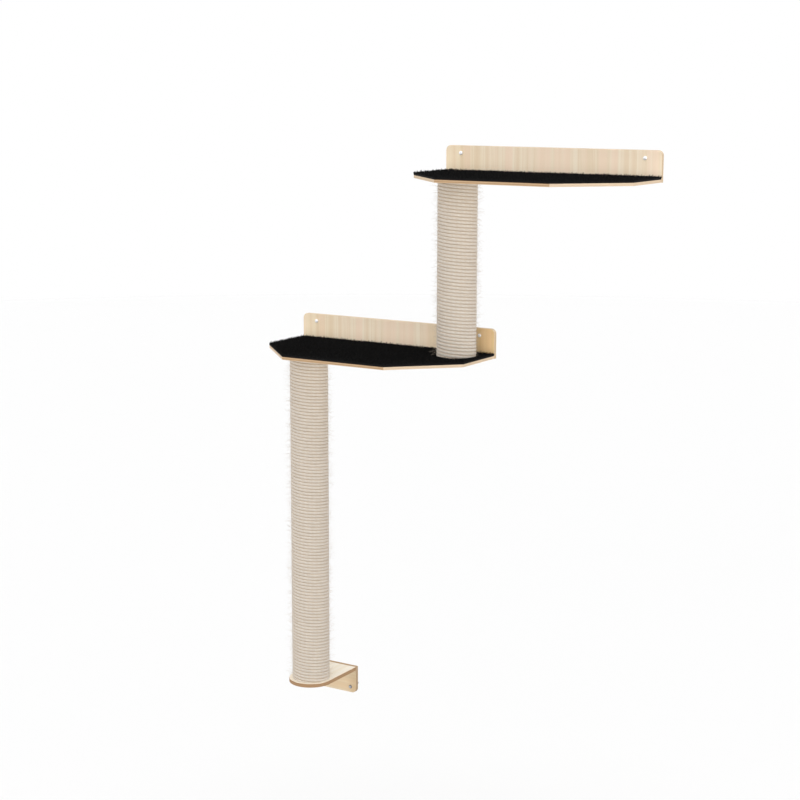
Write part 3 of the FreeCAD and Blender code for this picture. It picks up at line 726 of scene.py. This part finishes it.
black_pile = make_black_pile()
carpets = (("upper_shelf", None), ("lower_shelf", "upper_post"))
for seed, (shelf, post) in enumerate(carpets, start=PILE_SEED):
    mesh = cut_carpet(shelf, post, CUT_OUT_RADIUS)
    cut_area = sum(face.calc_area() for face in mesh.faces)
    ground = lay_ground(shelf, post, CUT_OUT_RADIUS)
    sprig = make_sprig(PILE_RADIUS, 0, PILE_HEIGHT, sides=3, joints=1, bend=0)
    pile_mesh = scatter(f"{shelf}_pile", ground, sprig, PILE_SPACING, PILE_LEAN, PILE_SIZES, EVEN_RARITY,
                        seed)
    sprig = make_sprig(TUFT_RADIUS, TUFT_RADIUS / 2, TUFT_HEIGHT, sides=3, joints=1, bend=0)
    ground = lay_ground(shelf, post, TUFT_CUT_OUT_RADIUS)
    tufts = scatter(f"{shelf}_tufts", ground, sprig, TUFT_SPACING, TUFT_LEAN, TUFT_SIZES, EVEN_RARITY,
                    seed + TUFT_SEED_STEP)
    tuft_data = bpy.data.meshes.new("tufts")
    tufts.to_mesh(tuft_data)
    pile_mesh.from_mesh(tuft_data)
    tufts.free()
    bpy.data.meshes.remove(tuft_data)
    pile = new_piece(f"{shelf}_pile", pile_mesh, black_pile, smooth=False)
    backing = new_piece(f"{shelf}_backing", mesh, black_pile, smooth=False)
    wall = backing.modifiers.new("backing", "SOLIDIFY")
    wall.thickness = BACKING * BACKING_SHARE
    wall.offset = -1
    wall.use_even_offset = True
    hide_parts(f"{shelf}_carpet")
    low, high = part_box(f"{shelf}_board")


# Studio: a pale floor well below the scratcher, a white surround, and soft lamps from the front, the left,
# the right, behind on the right and above.

FLOOR_Z = -1.62
FLOOR_HALF = 14.0
FLOOR_SIDES = 96
FLOOR_TONE = tint(212, 212, 212)
FLOOR_LIFT = 0.232
AMBIENT = 0.62
LAMPS = {"key_lamp": {"way": (0.28, -0.95, 0.05), "share": 0.48, "spread": 50},
         "left_lamp": {"way": (-0.90, -0.40, 0.05), "share": 0.20, "spread": 50},
         "fill_lamp": {"way": (0.95, -0.25, -0.20), "share": 0.56, "spread": 40},
         "rim_lamp": {"way": (0.80, 0.60, -0.10), "share": 0.28, "spread": 40},
         "top_lamp": {"way": (0.10, -0.10, 1.00), "share": 0.44, "spread": 60}}


def seen_directly(tree):
    """1 for a ray from the camera, off a shiny surface or through a clear one, and 0 for any other."""
    rays = add(tree, "ShaderNodeLightPath").outputs
    seen = sum_of(tree, "MAXIMUM", rays["Is Camera Ray"], rays["Is Glossy Ray"])
    return sum_of(tree, "MAXIMUM", seen, rays["Is Transmission Ray"])


def make_floor():
    """Pale matt floor that keeps the scratcher's shadow and fades into the white surround."""
    mesh = bmesh.new()
    bmesh.ops.create_circle(mesh, cap_ends=True, segments=FLOOR_SIDES, radius=FLOOR_HALF,
                            matrix=Matrix.Translation((0, 0, FLOOR_Z)))
    floor = new_object("floor", mesh)
    material = bpy.data.materials.new("pale_floor")
    material.use_nodes = True
    tree = material.node_tree
    tree.nodes.clear()
    matt = add(tree, "ShaderNodeBsdfDiffuse", {"Color": FLOOR_TONE}).outputs[0]
    strength = sum_of(tree, "MULTIPLY", seen_directly(tree), FLOOR_LIFT)
    lift = add(tree, "ShaderNodeEmission", {"Strength": strength}).outputs[0]
    lit = add(tree, "ShaderNodeAddShader", {0: matt, 1: lift}).outputs[0]
    add(tree, "ShaderNodeOutputMaterial", {"Surface": lit})
    floor.data.materials.append(material)


make_floor()

world = bpy.data.worlds.new("white_surround")
bpy.context.scene.world = world
world.use_nodes = True
world.node_tree.nodes.clear()
strength = sum_of(world.node_tree, "MULTIPLY_ADD", seen_directly(world.node_tree), 1 - AMBIENT, AMBIENT)
glow = {"Color": (1, 1, 1, 1), "Strength": strength}
surround = add(world.node_tree, "ShaderNodeBackground", glow).outputs[0]
add(world.node_tree, "ShaderNodeOutputWorld", {"Surface": surround})

for name, light in LAMPS.items():
    lamp = bpy.data.lights.new(name, "SUN")
    lamp.energy = light["share"] * math.pi
    lamp.angle = math.radians(light["spread"])
    holder = bpy.data.objects.new(name, lamp)
    holder.rotation_mode = "QUATERNION"
    holder.rotation_quaternion = Vector(light["way"]).to_track_quat("Z", "Y")
    bpy.context.scene.collection.objects.link(holder)


# Camera: a long lens a little above the upper shelf, in front of the scratcher and to its right. Its
# sensor and lens are given in millimetres.

CAMERA_PLACE = (2.28615, -3.68512, 0.61328)
CAMERA_YAW, CAMERA_PITCH, CAMERA_ROLL = (math.radians(angle) for angle in (31.74, -10.42, 0.13))
CAMERA_SENSOR = 36
CAMERA_LENS = 78.80

camera_data = bpy.data.cameras.new("camera")
camera_data.sensor_width = CAMERA_SENSOR
camera_data.lens = CAMERA_LENS
camera = bpy.data.objects.new("camera", camera_data)
camera.matrix_world = (Matrix.Translation(CAMERA_PLACE) @ Matrix.Rotation(CAMERA_YAW, 4, "Z")
                       @ Matrix.Rotation(math.pi / 2 + CAMERA_PITCH, 4, "X")
                       @ Matrix.Rotation(CAMERA_ROLL, 4, "Z"))
bpy.context.scene.collection.objects.link(camera)
bpy.context.scene.camera = camera
bpy.context.scene.view_settings.view_transform = "Standard"
